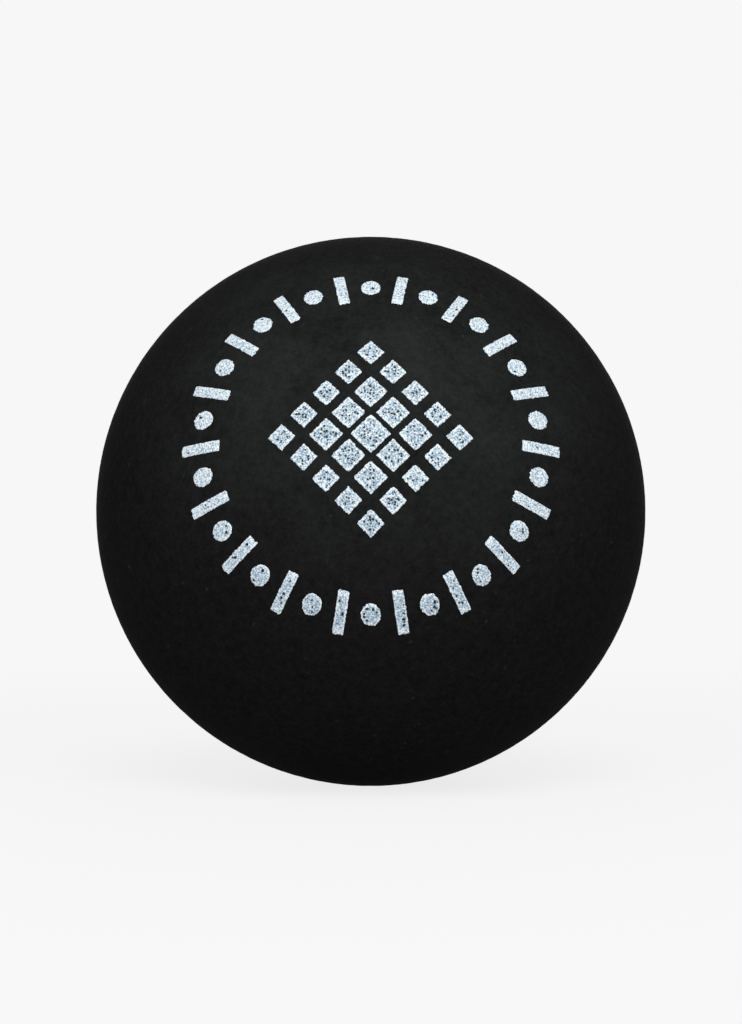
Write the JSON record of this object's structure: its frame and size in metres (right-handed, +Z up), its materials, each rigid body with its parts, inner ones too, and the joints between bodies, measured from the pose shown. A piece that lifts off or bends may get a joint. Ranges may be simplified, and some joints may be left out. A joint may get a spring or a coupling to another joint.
{
  "type": "squash ball",
  "caption": "Hollow matt black rubber squash ball of cemented half shells, with a white stamped ring and lattice on the front and a yellow speed dot on the back.",
  "frame": {"origin": "centre of the ball", "axes": "-Y is the printed front, as the picture sees it; +Y is the back with the speed dot; +Z is up; the seam lies in the plane y = 0"},
  "size_m": [0.04, 0.04, 0.04],
  "materials": {
    "rubber": "matte",
    "cement": "matte",
    "white_ink": "matte",
    "yellow_ink": "matte"
  },
  "bodies": {
    "root": {"front_half_shell": "rubber", "back_half_shell": "rubber", "seam_cement": "cement", "printed_ring_bars": "white_ink", "printed_ring_dots": "white_ink", "printed_lattice": "white_ink", "speed_dot": "yellow_ink"}
  },
  "joints": []
}
